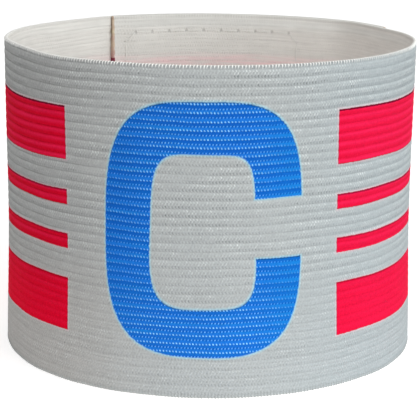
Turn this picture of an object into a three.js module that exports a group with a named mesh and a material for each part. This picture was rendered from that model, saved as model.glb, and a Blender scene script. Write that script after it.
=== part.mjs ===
// A captain's armband: one strip of ribbed elastic webbing, wound once round the arm and lapped over
// itself at the back, where a hook pad closes on a loop pad between the two layers.
// Millimetres, +Z up. The band rests on its lower rim, its axis is Z, and its printed front faces -Y.
import * as THREE from 'three';

// Webbing
const BAND_HEIGHT = 75; // width of the webbing, upright here
const WAIST_DIAMETER = 98.9; // outside, at the narrowest height
const WAIST_HEIGHT = 34;
const LOWER_FLARE = 0.75; // how far the lower rim stands out past the waist
const UPPER_FLARE = 0.38;
const BAND_WALL = 1.5; // from the crest of a rib to the inner face
const SELVEDGE = 0.9; // plain edge between the last rib and each rim
const RIB_PITCH = 1.926;
const RIB_DEPTH = 0.25;

// Ends and closure. Angles are in degrees from the front, positive towards +X, and lengths run
// along the outside of the ring.
const INNER_END_ANGLE = -145.8;
const PAD_SETBACK = 0.7; // from the inner end to both pads
const PAD_LENGTH = 58;
const TAB_LENGTH = 25.3; // free outer end past the pads
const PAD_HEIGHT = 68;
const LOOP_PAD_WALL = 0.6;
const HOOK_PAD_WALL = 0.6;
const PIECE_GAP = 0.25; // between pieces that touch on the real band
const LAYER_GAP = 0.3; // between the two layers where no pad parts them
const RIM_GAP = 0.8; // between the two rims over the pads, where the webbing closes up
const CLOSING_LENGTH = 11; // along which the layers close up past the pads
const TUCK_LENGTH = 24; // along which the strip comes back out once the outer end has stopped

// Facets
const FACETS_PER_TURN = 45;
const FACET = 360 / FACETS_PER_TURN;

// Dents and bulges of the hand-wound ring in plan: angle and half width in degrees, rise as a share
// of the waist radius
const PLAN_WAVES = [
  { angle: -126, halfWidth: 24, rise: -0.02 }, // flatter beside the inner end
  { angle: 136, halfWidth: 22, rise: 0.02 }, // proud over the lap
];

// Heights of the rows of a face without ribs, as shares of the band's
const PLAIN_ROWS = [0, 0.15, 0.3, 0.45, 0.6, 0.75, 1];

const WAIST_RADIUS = WAIST_DIAMETER / 2;
const PAD_SPACE = LOOP_PAD_WALL + HOOK_PAD_WALL + 3 * PIECE_GAP;
const RIM_MARGIN = (BAND_HEIGHT - PAD_HEIGHT) / 2;

const LAP_LENGTH = PAD_SETBACK + PAD_LENGTH + TAB_LENGTH;
const RIBBED_HEIGHT = BAND_HEIGHT - 2 * SELVEDGE;
const RIB_COUNT = Math.round(RIBBED_HEIGHT / RIB_PITCH);

// The strip is followed by its turn, in degrees from the inner end, clockwise seen from above.
const turnOf = (length) => THREE.MathUtils.radToDeg(length / WAIST_RADIUS);
const LAP_TURN = turnOf(LAP_LENGTH);
const STRIP_TURN = 360 + LAP_TURN;
const PAD_START = turnOf(PAD_SETBACK);
const PAD_END = PAD_START + turnOf(PAD_LENGTH);
const CLOSED_TURN = PAD_END + turnOf(CLOSING_LENGTH);
const TUCKED_TURN = LAP_TURN + turnOf(TUCK_LENGTH);

const angleAt = (turn) => INNER_END_ANGLE - turn;

function flareAt(z) {
  const belowWaist = 1 - THREE.MathUtils.smoothstep(z, 0, WAIST_HEIGHT);
  const aboveWaist = THREE.MathUtils.smoothstep(z, WAIST_HEIGHT, BAND_HEIGHT);
  return LOWER_FLARE * belowWaist + UPPER_FLARE * aboveWaist;
}

function waveAt(angle) {
  let rise = 0;
  for (const wave of PLAN_WAVES) {
    const away = THREE.MathUtils.euclideanModulo(angle - wave.angle + 180, 360) - 180;
    const share = Math.min(1, Math.abs(away) / wave.halfWidth);
    rise += wave.rise * (1 + Math.cos(Math.PI * share)) / 2;
  }
  return rise;
}

// Radius of the outermost face, which the crests of the ribs touch
function outsideRadius(turn, z) {
  return WAIST_RADIUS * (1 + waveAt(angleAt(turn))) + flareAt(z);
}

// How far apart the two layers lie over the lap
function layerSpace(turn, z) {
  const overPads = 1 - THREE.MathUtils.smoothstep(turn, PAD_END, CLOSED_TURN);
  const inFromRim = THREE.MathUtils.smoothstep(Math.min(z, BAND_HEIGHT - z), 0, RIM_MARGIN);
  const parted = THREE.MathUtils.lerp(RIM_GAP, PAD_SPACE, inFromRim);
  return THREE.MathUtils.lerp(LAYER_GAP, parted, overPads);
}

// How far the strip's outer face lies inside the outermost face
function layerInset(turn, z) {
  if (turn <= LAP_TURN) return BAND_WALL + layerSpace(turn, z);
  const tucked = 1 - THREE.MathUtils.smoothstep(turn, LAP_TURN, TUCKED_TURN);
  return (BAND_WALL + LAYER_GAP) * tucked;
}

// How far a face is cut back between the ribs. The selvedge lies as deep as the grooves.
function ribCut(z) {
  const ribs = THREE.MathUtils.clamp((z - SELVEDGE) / RIBBED_HEIGHT, 0, 1) * RIB_COUNT;
  return RIB_DEPTH * (1 + Math.cos(2 * Math.PI * ribs)) / 2;
}

function turnsBetween(start, end) {
  const turns = [start];
  for (let turn = Math.ceil(start / FACET) * FACET; turn < end; turn += FACET) {
    if (turn > start + FACET / 4 && turn < end - FACET / 4) turns.push(turn);
  }
  turns.push(end);
  return turns;
}

// Both rims, and each groove and crest between them
function ribbedRows() {
  const steps = 2 * RIB_COUNT;
  const ribRows = Array.from({ length: steps + 1 }, (_, row) => SELVEDGE + RIBBED_HEIGHT * row / steps);
  return [0, ...ribRows, BAND_HEIGHT];
}

// A closed wall swept along the strip. Each face has its own rows of heights, from low to high,
// and a radius for a turn and a height.
function sweepWall(turns, outerFace, innerFace) {
  const profileAt = (turn) => [
    ...outerFace.rows.map((z) => new THREE.Vector2(outerFace.radius(turn, z), z)),
    ...innerFace.rows.toReversed().map((z) => new THREE.Vector2(innerFace.radius(turn, z), z)),
  ];
  const corners = outerFace.rows.length + innerFace.rows.length;
  const positions = [];
  const triangles = [];
  for (const turn of turns) {
    const angle = THREE.MathUtils.degToRad(angleAt(turn));
    for (const { x: radius, y: z } of profileAt(turn)) {
      positions.push(radius * Math.sin(angle), -radius * Math.cos(angle), z);
    }
  }
  for (let station = 0; station + 1 < turns.length; station += 1) {
    for (let corner = 0; corner < corners; corner += 1) {
      const next = (corner + 1) % corners;
      const [a, b] = [station * corners + corner, station * corners + next];
      triangles.push(a, b, b + corners, a, b + corners, a + corners);
    }
  }
  const last = (turns.length - 1) * corners;
  for (const [a, b, c] of THREE.ShapeUtils.triangulateShape(profileAt(turns[0]), [])) {
    triangles.push(a, c, b);
  }
  for (const [a, b, c] of THREE.ShapeUtils.triangulateShape(profileAt(turns.at(-1)), [])) {
    triangles.push(last + a, last + b, last + c);
  }
  const geometry = new THREE.BufferGeometry();
  geometry.setAttribute('position', new THREE.Float32BufferAttribute(positions, 3));
  geometry.setIndex(triangles);
  geometry.computeVertexNormals();
  return geometry;
}

function elasticBand() {
  const outerFace = {
    rows: ribbedRows(),
    radius: (turn, z) => outsideRadius(turn, z) - layerInset(turn, z) - ribCut(z),
  };
  const innerFace = {
    rows: [
      ...PLAIN_ROWS.map((share) => share * BAND_HEIGHT),
      RIM_MARGIN,
      BAND_HEIGHT - RIM_MARGIN,
    ].sort((a, b) => a - b),
    radius: (turn, z) => outsideRadius(turn, z) - layerInset(turn, z) - BAND_WALL,
  };
  return sweepWall(turnsBetween(0, STRIP_TURN), outerFace, innerFace);
}

// A pad lies between the layers, its outer face at a depth under the outer layer's inner face.
function fasteningPad(depth, wall) {
  const low = RIM_MARGIN;
  const high = BAND_HEIGHT - RIM_MARGIN;
  const rows = [
    low,
    ...PLAIN_ROWS.map((share) => share * BAND_HEIGHT).filter((z) => z > low && z < high),
    high,
  ];
  const faceAt = (under) => (turn, z) => outsideRadius(turn, z) - BAND_WALL - depth - under;
  return sweepWall(
    turnsBetween(PAD_START, PAD_END),
    { rows, radius: faceAt(0) },
    { rows, radius: faceAt(wall) },
  );
}

function piece(name, geometry, look) {
  const mesh = new THREE.Mesh(geometry, new THREE.MeshStandardMaterial({ metalness: 0, ...look }));
  mesh.name = name;
  return mesh;
}

const HOOK_PAD_DEPTH = PIECE_GAP;
const LOOP_PAD_DEPTH = HOOK_PAD_DEPTH + HOOK_PAD_WALL + PIECE_GAP;
const hookPad = fasteningPad(HOOK_PAD_DEPTH, HOOK_PAD_WALL);
const loopPad = fasteningPad(LOOP_PAD_DEPTH, LOOP_PAD_WALL);

const armband = new THREE.Group();
armband.name = 'captain_armband';
armband.add(
  piece('elastic_band', elasticBand(), { color: 0xb4bab9, roughness: 0.9 }),
  piece('hook_pad', hookPad, { color: 0xd8d8d4, roughness: 0.7 }),
  piece('loop_pad', loopPad, { color: 0xecebe6, roughness: 1 }),
);

export default armband;
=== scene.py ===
"""The looks of a captain's armband: ribbed elastic webbing wound into a ring and closed at the back.

Sizes are in millimetres until a mesh is made. The strip is followed by its length from the inner end,
measured along the outside of the ring. On the printed cloth, u is the distance from the middle of the
front, positive to the viewer's right, and v is the height above the lower rim.
"""
import math
from functools import partialmethod
from types import SimpleNamespace

import bpy
import numpy as np
from mathutils import Euler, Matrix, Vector


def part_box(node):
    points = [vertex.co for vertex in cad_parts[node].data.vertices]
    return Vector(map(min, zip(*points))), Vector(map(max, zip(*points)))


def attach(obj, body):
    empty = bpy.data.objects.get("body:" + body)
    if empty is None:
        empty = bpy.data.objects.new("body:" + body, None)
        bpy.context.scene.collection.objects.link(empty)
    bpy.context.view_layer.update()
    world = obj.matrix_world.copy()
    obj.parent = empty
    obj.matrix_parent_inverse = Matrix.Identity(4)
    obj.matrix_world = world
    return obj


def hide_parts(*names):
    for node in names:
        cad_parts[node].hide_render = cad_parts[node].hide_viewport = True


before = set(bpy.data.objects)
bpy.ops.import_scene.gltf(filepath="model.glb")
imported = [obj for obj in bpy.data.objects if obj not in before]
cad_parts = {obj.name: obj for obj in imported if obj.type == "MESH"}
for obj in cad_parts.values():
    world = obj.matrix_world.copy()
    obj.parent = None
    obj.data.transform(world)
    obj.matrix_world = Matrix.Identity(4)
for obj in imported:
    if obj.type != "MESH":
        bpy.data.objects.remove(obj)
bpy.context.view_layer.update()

MM = 0.001
SEED = 11
DARKER_SHARE = 0.82  # of a colour's light


def table(columns, *rows):
    """Rows of values under named columns."""
    names = columns.split()
    return [dict(zip(names, row)) for row in rows]


# The webbing, as the solids have it
BAND_LOW, BAND_HIGH = (corner.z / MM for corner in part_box("elastic_band"))
BAND_HEIGHT = BAND_HIGH - BAND_LOW
WAIST_DIAMETER = 98.9
WAIST_RADIUS = WAIST_DIAMETER / 2
WAIST_HEIGHT = 34.0
LOWER_FLARE = 0.75
UPPER_FLARE = 0.38
BAND_WALL = 1.5
SELVEDGE = 0.9
RIB_COUNT = 38
RIBBED_HEIGHT = BAND_HEIGHT - 2 * SELVEDGE
RIB_PITCH = RIBBED_HEIGHT / RIB_COUNT

# The ends and the closure, as the solids have them
INNER_END_ANGLE = -145.8
PAD_LOW, PAD_HIGH = (corner.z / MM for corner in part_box("loop_pad"))
PAD_SETBACK = 0.7
PAD_LENGTH = 58.0
TAB_LENGTH = 25.3
LAP_LENGTH = PAD_SETBACK + PAD_LENGTH + TAB_LENGTH
PAD_WALL = 0.6
PIECE_GAP = 0.25
LAYER_GAP = 0.3
RIM_GAP = 0.8
CLOSING_LENGTH = 11.0
TUCK_LENGTH = 24.0
PAD_SPACE = 2 * PAD_WALL + 3 * PIECE_GAP
PLAN_WAVES = table(
    "angle half_width rise",
    (-126, 24, -0.02),
    (136, 22, 0.02),
)
FULL_TURN = 2 * math.pi * WAIST_RADIUS
STRIP_LENGTH = FULL_TURN + LAP_LENGTH
FRONT_LENGTH = math.radians(360 + INNER_END_ANGLE) * WAIST_RADIUS

# Where the upper rim is pushed in: angle and half width in degrees, rise in millimetres
RIM_WAVES = table(
    "angle half_width rise",
    (-63, 24, -1.9),
)
RIM_WAVE_LOW = 50

# The ring's ripples: waves in a turn, how far each leans towards the upper rim, its phase and its rise
RIPPLES = table(
    "waves lean phase rise",
    (7, 2.1, 0.0, 0.07),
    (13, -3.7, 1.3, 0.05),
    (23, 6.0, 4.2, 0.04),
)

# How the rows of the cloth wander up and down: wave lengths along the strip and up it, and rise
WANDERS = table(
    "along up rise",
    (9.0, 17, 0.1),
    (4.1, -7, 0.07),
)
WANDER_FROM_RIM = 3

# The strip's section. Rows are shares of a rib's pitch. PRINTED_EDGE is two angles, in radians, on the rim.
RIB_RELIEF = 0.13
RIB_UNEVENNESS = 0.1
RIB_ROWS = (0.0, 0.08, 0.22, 0.5, 0.78, 0.92)
RIB_ROUNDNESS = 0.7
LOWEST_RIB_SHARE = 0.3
LOW_RIBS = (6, 34)
INNER_RIB_ROWS = (0.0, 0.3, 0.7)
INNER_RIB_DEPTH = 0.07
RIM_THINNING = 0.55
RIM_THINNING_HEIGHT = 3.0
EDGE_ROUND = 0.3
EDGE_STEPS = 7
PRINTED_EDGE = (0.5, 1.1)
YARN_PROUD = 0.1

# The strip's stations along its length. Those near an end are shares of the taper.
STATION_STEP = 1.72
END_STATIONS = (0.08, 0.24, 0.5, 0.9)
SEAM_STATIONS = (-0.6, 0, 0.6)
STATION_CLEARANCE = 0.45

# The cut ends
END_TAPER = 1.3
END_THINNEST = 0.72
INNER_END_REACH = 0.8
INNER_END_ANCHOR = 0.0
OUTER_END_ANCHOR = 1.15
PINCH = 0.97
PINCH_LENGTH = 6.0
RAGGED_LENGTH = 4
RAGS = table(
    "per_mm phase reach",
    (2.9, 0, 0.08),
    (6.1, 1, 0.06),
    (0.11, 0, 0.12),
)
TAB_LIFT_LOW = 0.25
TAB_LIFT_HIGH = 0.1
TAB_LIFT_HEIGHT = 30
TAB_LIFT_LENGTH = 14
SEARED_LENGTH = 0.45

# The stitches of yarn over both rims
STITCH = 0.74
EDGE_STITCH_SIDES = 5
EDGE_STITCH_WANDER = 0.05
EDGE_STITCH_CLEARANCE = 0.2
LEAN_SPREAD = (0.6, 1.5)
BELOW_SPREAD = (0.88, 1.08)
RADIUS_SPREAD = (0.9, 1.08)
PRINTED_DEPTH = 0.45
# One of them: depth under the outer face, distance below the rim, lean along the strip, and side, which is
# 1 on the printed face, 0 on the inner one and -1 where the yarn goes back into the cloth
EDGE_STITCH = table(
    "depth below lean side radius",
    (0.30, 1.10, 0.18, 0.9, 0.08),
    (0.13, 0.72, 0.15, 0.75, 0.13),
    (0.14, 0.38, 0.09, 0.5, 0.15),
    (0.32, 0.19, 0.04, 0.1, 0.16),
    (0.54, 0.17, 0.00, 0.0, 0.16),
    (0.76, 0.22, -0.04, 0.0, 0.15),
    (0.90, 0.46, -0.09, -0.6, 0.12),
    (0.89, 0.72, -0.14, -1.0, 0.08),
    (0.82, 0.95, -0.16, -1.0, 0.06),
)

# The seams that hold the pads
SEAM_START = 2.9
SEAM_LENGTH = 51.6
SEAM_INSET = 0.7
SEAM_PITCH = 5.16
SEAM_DIP = 0.06
SEAM_DIP_WIDTH = 0.7
SEAM_DIP_FADE = 1
SEAM_DIP_INSIDE = 0.5
SEAM_LOW, SEAM_HIGH = PAD_LOW + SEAM_INSET, PAD_HIGH - SEAM_INSET
THREAD_RADIUS = 0.11
THREAD_SIDES = 8
THREAD_FORM = table(
    "share rise",
    (0.03, -0.32),
    (0.10, -0.02),
    (0.30, 0.07),
    (0.50, 0.09),
    (0.70, 0.07),
    (0.90, -0.02),
    (0.97, -0.32),
)
HOLE_RADIUS = 0.4

# The hook pad and the loop pad: woven grounds, and the hooks and loops that stand on them
TAPE_ROWS = 36
TAPE_STATIONS = 34
TAPE_REACH = 0.1
HOOK_GROUND = {"near": BAND_WALL + 0.12, "far": BAND_WALL + 0.55}
LOOP_GROUND = {"near": BAND_WALL + 1.4, "far": BAND_WALL + PAD_SPACE - 0.12}
PILE_PITCH = 1.5
PILE_MARGIN = 1
PILE_HEIGHT = 0.5
PILE_HEIGHT_SPREAD = (0.85, 1)
HOOK_RADIUS = 0.05
LOOP_RADIUS = 0.035
HOOK_FORM = table(
    "along up",
    (0.00, -0.05),
    (0.00, 0.50),
    (0.05, 0.84),
    (0.20, 1.00),
    (0.33, 0.80),
)
LOOP_FORM = table(
    "along up",
    (-0.22, -0.05),
    (-0.34, 0.45),
    (-0.20, 0.88),
    (0.00, 1.00),
    (0.20, 0.88),
    (0.34, 0.45),
    (0.22, -0.05),
)

# The ends of yarn that stand out of both cuts
FIBRES_PER_END = 22
FIBRE_RADIUS = 0.035
FINE_SIDES = 4
FIBRE_POINTS = 6
FIBRE_ROOT = 0.3
FIBRE_REACH = (0.3, 1.3)
FIBRE_HEIGHTS = (1, BAND_HEIGHT - 2)
FIBRE_RISE = (-0.9, 0.9)
FIBRE_DEPTH = (0.35, 0.9)
FIBRE_SINK = (-0.15, 0.35)

# The print
STRIPES = table(
    "low high",
    (51.7, 64.0),
    (41.4, 44.9),
    (31.3, 34.8),
    (12.2, 24.5),
)
STRIPES_LEFT = {"u": -33.0, "lean": 0.0048}
STRIPES_RIGHT = {"u": 32.55, "lean": 0.014}
LETTER_OUTSIDE, LETTER_INSIDE = table(
    "u v half_width half_height taper power squarer_right squarer_top",
    (0.08, 38.3, 22.5, 28.82, -0.005, 3.04, 0.32, 0.0),
    (0.05, 38.02, 11.73, 17.51, -0.031, 3.7, 1.0, 0.9),
)
LETTER_OPENING = {"low": 31.9, "high": 45.47}


def smoothstep(x, low, high):
    share = np.clip((x - low) / (high - low), 0, 1)
    return share * share * (3 - 2 * share)


def column_of(rows, key):
    return np.array([row[key] for row in rows])


def srgb(red, green, blue):
    """A colour given in 0 to 255 as a screen shows it, as linear red, green, blue and alpha."""
    def linear(level):
        level /= 255
        return level / 12.92 if level <= 0.04045 else ((level + 0.055) / 1.055) ** 2.4
    return (linear(red), linear(green), linear(blue), 1)


def darker(colour):
    return tuple(level * DARKER_SHARE for level in colour[:3]) + (1,)


# Where the strip runs

def from_rim(z):
    return np.minimum(z, BAND_HEIGHT - z)


def flare_at(z):
    below_waist = 1 - smoothstep(z, 0, WAIST_HEIGHT)
    above_waist = smoothstep(z, WAIST_HEIGHT, BAND_HEIGHT)
    return LOWER_FLARE * below_waist + UPPER_FLARE * above_waist


def waves_at(angle, waves):
    rise = 0
    for wave in waves:
        away = (angle - wave["angle"] + 180) % 360 - 180
        share = np.minimum(1, abs(away) / wave["half_width"])
        rise = rise + wave["rise"] * (1 + np.cos(math.pi * share)) / 2
    return rise


def softness_at(angle, z):
    """The small unevenness of a soft ring, in radius, the same for both layers of the lap."""
    around = np.radians(angle)
    up = z / BAND_HEIGHT
    rise = waves_at(angle, RIM_WAVES) * smoothstep(z, RIM_WAVE_LOW, BAND_HEIGHT) ** 2
    for ripple in RIPPLES:
        turn = ripple["waves"] * around + ripple["lean"] * up + ripple["phase"]
        rise = rise + ripple["rise"] * np.sin(turn)
    return rise


def angle_at(length):
    return INNER_END_ANGLE - np.degrees(length / WAIST_RADIUS)


def tangent_at(length):
    around = np.radians(angle_at(length))
    return np.stack([np.cos(around), np.sin(around), 0 * around], axis=-1)


def outward_at(length):
    around = np.radians(angle_at(length))
    return np.stack([np.sin(around), -np.cos(around), 0 * around], axis=-1)


def layer_space(length, z):
    pad_end = PAD_SETBACK + PAD_LENGTH
    over_pads = 1 - smoothstep(length, pad_end, pad_end + CLOSING_LENGTH)
    parted = RIM_GAP + (PAD_SPACE - RIM_GAP) * smoothstep(from_rim(z), 0, PAD_LOW)
    return LAYER_GAP + (parted - LAYER_GAP) * over_pads


def pinch_at(length):
    """How much of the room between the layers is left where the inner end is pressed flat."""
    return 1 - PINCH * (1 - smoothstep(length, 0, PINCH_LENGTH))


def rim_thinning(z):
    """How much thinner the webbing is near its rims, taken off its inner face."""
    return RIM_THINNING * (1 - smoothstep(from_rim(z), SELVEDGE, RIM_THINNING_HEIGHT))


def layer_inset(length, z):
    wall = BAND_WALL - rim_thinning(z)
    tucked = 1 - smoothstep(length, LAP_LENGTH, LAP_LENGTH + TUCK_LENGTH)
    return np.where(
        length <= LAP_LENGTH,
        wall + layer_space(length, z) * pinch_at(length),
        (wall + LAYER_GAP) * tucked,
    )


def pressed(length, depth):
    """A depth under the outer layer. Between the layers it shrinks where the inner end is pressed flat."""
    past_wall = np.maximum(0, depth - BAND_WALL) * (length > FULL_TURN)
    return depth - past_wall * (1 - pinch_at(length - FULL_TURN))


def seam_dip(length, z):
    """How far a face is pulled in along the seams that hold the pads."""
    near_row = 0
    for base in (0, FULL_TURN):
        start = base + SEAM_START
        end = start + SEAM_LENGTH
        from_start = smoothstep(length, start - SEAM_DIP_FADE, start)
        to_end = 1 - smoothstep(length, end, end + SEAM_DIP_FADE)
        up = smoothstep(z, PAD_LOW, SEAM_LOW) * (1 - smoothstep(z, SEAM_HIGH, PAD_HIGH))
        for row in (SEAM_LOW, SEAM_HIGH):
            beside = np.exp(-((z - row) / SEAM_DIP_WIDTH) ** 2)
            near_row = np.maximum(near_row, from_start * to_end * beside)
        for column in (start, end):
            beside = np.exp(-((length - column) / SEAM_DIP_WIDTH) ** 2)
            near_row = np.maximum(near_row, up * beside)
    return SEAM_DIP * near_row


def tab_lift(length, z):
    """The free end of the outer layer stands a little off, most at its lower corner."""
    near_end = smoothstep(length, STRIP_LENGTH - TAB_LIFT_LENGTH, STRIP_LENGTH)
    upwards = smoothstep(z, TAB_LIFT_HEIGHT, BAND_HEIGHT)
    return near_end ** 2 * (TAB_LIFT_LOW - (TAB_LIFT_LOW - TAB_LIFT_HIGH) * upwards)


def place(length, z, depth):
    """Points under the strip's outer face, in metres. The three arguments broadcast."""
    length, z, depth = np.broadcast_arrays(length, z, depth)
    angle = angle_at(length)
    radius = WAIST_RADIUS * (1 + waves_at(angle, PLAN_WAVES)) + flare_at(z) + softness_at(angle, z)
    radius = radius - layer_inset(length, z) + tab_lift(length, z) - pressed(length, depth)
    around = np.radians(angle)
    return np.stack([radius * np.sin(around), -radius * np.cos(around), z], axis=-1) * MM


# Meshes

def mesh_object(name, vertices, faces):
    mesh = bpy.data.meshes.new(name)
    mesh.from_pydata(vertices, [], faces)
    mesh.validate()
    mesh.polygons.foreach_set("use_smooth", np.ones(len(mesh.polygons), bool))
    piece = bpy.data.objects.new(name, mesh)
    bpy.context.scene.collection.objects.link(piece)
    return piece


def add_cloth_coordinates(piece, u, v, side):
    """Stores u, v and the side of the cloth at each vertex. The side is as EDGE_STITCH has it."""
    coordinates = np.stack(np.broadcast_arrays(u, v, side), axis=-1)
    attribute = piece.data.attributes.new("cloth", "FLOAT_VECTOR", "POINT")
    attribute.data.foreach_set("vector", coordinates.astype(np.float32).ravel())


def strip_faces(stations, corners):
    """Quads of a tube of several corners swept through several stations, and its two end caps."""
    station, corner = np.meshgrid(np.arange(stations - 1), np.arange(corners), indexing="ij")
    here = station * corners + corner
    beside = station * corners + (corner + 1) % corners
    quads = np.stack([here, beside, beside + corners, here + corners], axis=-1).reshape(-1, 4)
    first = list(range(corners))[::-1]
    last = [(stations - 1) * corners + corner for corner in range(corners)]
    return [*quads.tolist(), first, last]


def make_tubes(name, paths, radius, aside, sides):
    """Many tubes in one mesh. paths is tube, point, axis, in metres, and aside is one direction for each
    tube, across its path. radius is one for all, or one for each tube and point."""
    count, points, _ = paths.shape
    along = np.gradient(paths, axis=1)
    along /= np.linalg.norm(along, axis=2, keepdims=True)
    across = np.cross(aside[:, None, :], along)
    across /= np.linalg.norm(across, axis=2, keepdims=True)
    other = np.cross(along, across)
    turn = np.arange(sides) * 2 * math.pi / sides
    ring = (
        across[:, :, None, :] * np.cos(turn)[:, None]
        + other[:, :, None, :] * np.sin(turn)[:, None]
    )
    radii = np.broadcast_to(radius * MM, (count, points))
    vertices = paths[:, :, None, :] + ring * radii[:, :, None, None]
    one = strip_faces(points, sides)
    faces = [[corner + tube * points * sides for corner in face] for tube in range(count) for face in one]
    return mesh_object(name, vertices.reshape(-1, 3), faces)


def heights_in_ribs(phases):
    rib = np.arange(RIB_COUNT)[:, None]
    return (SELVEDGE + (rib + phases) * RIB_PITCH).ravel()


def outer_face():
    """Heights and depths up the ribbed face. The ribs are lower near the lower rim."""
    rng = np.random.default_rng(SEED)
    fullness = 1 + RIB_UNEVENNESS * rng.uniform(-1, 1, RIB_COUNT)[:, None]
    phases = np.array(RIB_ROWS)
    z = heights_in_ribs(phases)
    crest = np.sin(math.pi * phases) ** RIB_ROUNDNESS * fullness
    relief = LOWEST_RIB_SHARE + (1 - LOWEST_RIB_SHARE) * smoothstep(z, *LOW_RIBS)
    depth = RIB_RELIEF * (1 - crest.ravel() * relief)
    return np.append(z, BAND_HEIGHT - SELVEDGE), np.append(depth, RIB_RELIEF)


def inner_face():
    """Heights and depths down the inner face."""
    phases = np.array(INNER_RIB_ROWS)
    z = heights_in_ribs(phases)
    crest = np.tile(np.sin(math.pi * phases), RIB_COUNT)
    depth = BAND_WALL - INNER_RIB_DEPTH * (1 - crest) - rim_thinning(z)
    z = np.append(z, BAND_HEIGHT - SELVEDGE)
    depth = np.append(depth, BAND_WALL - INNER_RIB_DEPTH - RIM_THINNING)
    return z[::-1], depth[::-1]


def section_of_strip():
    """Once round the strip's section: depth under the outer face, height and side."""
    outer_z, outer_depth = outer_face()
    inner_z, inner_depth = inner_face()
    sweep = np.linspace(0, math.pi, EDGE_STEPS)
    rim_wall = BAND_WALL - RIM_THINNING
    middle = (RIB_RELIEF + rim_wall) / 2
    half = (rim_wall - RIB_RELIEF) / 2
    rim_depth = middle - half * np.cos(sweep)
    rim_rise = EDGE_ROUND * np.sin(sweep) - EDGE_ROUND - YARN_PROUD
    rim_side = 1 - smoothstep(sweep, *PRINTED_EDGE)

    depth = np.concatenate([outer_depth, rim_depth, inner_depth, rim_depth[::-1]])
    z = np.concatenate([outer_z, BAND_HEIGHT + rim_rise, inner_z, -rim_rise[::-1]])
    side = np.concatenate([np.ones_like(outer_z), rim_side, np.zeros_like(inner_z), rim_side[::-1]])
    return depth, z, side


def stations_of_strip():
    """Lengths at which the strip's section is set, closer at the cut ends and at the upright seams."""
    even = np.linspace(0, STRIP_LENGTH, round(STRIP_LENGTH / STATION_STEP) + 1)
    from_end = np.array(END_STATIONS) * END_TAPER
    beside_seam = np.array(SEAM_STATIONS)
    seams = [base + SEAM_START + offset for base in (0, FULL_TURN) for offset in (0, SEAM_LENGTH)]
    special = np.concatenate([from_end, STRIP_LENGTH - from_end, *(seam + beside_seam for seam in seams)])
    clear = [
        length for length in even[1:-1]
        if np.min(abs(special - length)) > STATION_CLEARANCE
        and END_TAPER < length < STRIP_LENGTH - END_TAPER
    ]
    return np.unique(np.concatenate([[0, STRIP_LENGTH], special, clear]))


def ragged_reach(length, from_end, z):
    """How far a cut end reaches past its place. The inner end falls short where it is pressed flat."""
    rags = 0
    for rag in RAGS:
        rags = rags + rag["reach"] * np.sin(z * rag["per_mm"] + rag["phase"])
    short = INNER_END_REACH - rim_thinning(z)
    reach = rags * (1 - smoothstep(from_end, 0, RAGGED_LENGTH))
    return reach - short * (1 - smoothstep(length, 0, PINCH_LENGTH))


def wander_at(length, z):
    """How far the rows of the cloth run off level, less near the rims."""
    wander = 0
    for wave in WANDERS:
        wander = wander + wave["rise"] * np.sin(length / wave["along"] + z / wave["up"])
    return wander * smoothstep(from_rim(z), 0, WANDER_FROM_RIM)


def make_band():
    depth, z, side = section_of_strip()
    length = stations_of_strip()[:, None]
    from_end = np.minimum(length, STRIP_LENGTH - length)
    fullness = END_THINNEST + (1 - END_THINNEST) * np.sqrt(np.clip(from_end / END_TAPER, 0, 1))
    anchor = np.where(length < STRIP_LENGTH / 2, INNER_END_ANCHOR, OUTER_END_ANCHOR)
    dip_share = np.where(side > 0.5, 1, -SEAM_DIP_INSIDE)
    depth = anchor + (depth - anchor) * fullness + seam_dip(length, z) * dip_share
    reach = ragged_reach(length, from_end, z)
    vertices = place(length + reach, z + wander_at(length, z), depth)
    piece = mesh_object("webbing_strip", vertices.reshape(-1, 3), strip_faces(length.size, z.size))
    add_cloth_coordinates(piece, FRONT_LENGTH - length, z, side)
    return piece


def make_edge_stitches(name, upper):
    column = {key: column_of(EDGE_STITCH, key) for key in EDGE_STITCH[0]}
    count = int(STRIP_LENGTH / STITCH)
    rng = np.random.default_rng(SEED + upper)
    length = (np.arange(count) + 0.5) * STITCH + rng.uniform(-EDGE_STITCH_WANDER, EDGE_STITCH_WANDER, count)
    length = length[:, None] + column["lean"] * rng.uniform(*LEAN_SPREAD, (count, 1))
    length = np.clip(length, EDGE_STITCH_CLEARANCE, STRIP_LENGTH - EDGE_STITCH_CLEARANCE)
    below = column["below"] * rng.uniform(*BELOW_SPREAD, (count, 1))
    z = BAND_HEIGHT - below if upper else below
    paths = place(length, z, column["depth"])
    aside = tangent_at(length[:, len(EDGE_STITCH) // 2])
    radius = column["radius"] * rng.uniform(*RADIUS_SPREAD, (count, 1))
    piece = make_tubes(name, paths, radius, aside, EDGE_STITCH_SIDES)
    side = column["side"] if upper else np.where(column["depth"] < PRINTED_DEPTH, 1.0, column["side"])
    u, v = (np.repeat(grid, EDGE_STITCH_SIDES, axis=1) for grid in (FRONT_LENGTH - length, z))
    add_cloth_coordinates(piece, u, v, np.repeat(side, EDGE_STITCH_SIDES))
    return piece


def seam_holes(base):
    """Needle holes round one pad, as length and height, in order round the seam. The first and the last
    of a side lie half a stitch from its corners."""
    start = base + SEAM_START
    end = start + SEAM_LENGTH
    corners = [(start, SEAM_LOW), (end, SEAM_LOW), (end, SEAM_HIGH), (start, SEAM_HIGH), (start, SEAM_LOW)]
    holes = []
    for (x0, z0), (x1, z1) in zip(corners, corners[1:]):
        steps = round(math.hypot(x1 - x0, z1 - z0) / SEAM_PITCH)
        for step in range(steps):
            share = (step + 0.5) / steps
            holes.append((x0 + (x1 - x0) * share, z0 + (z1 - z0) * share))
    return np.array([*holes, holes[0]])


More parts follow.
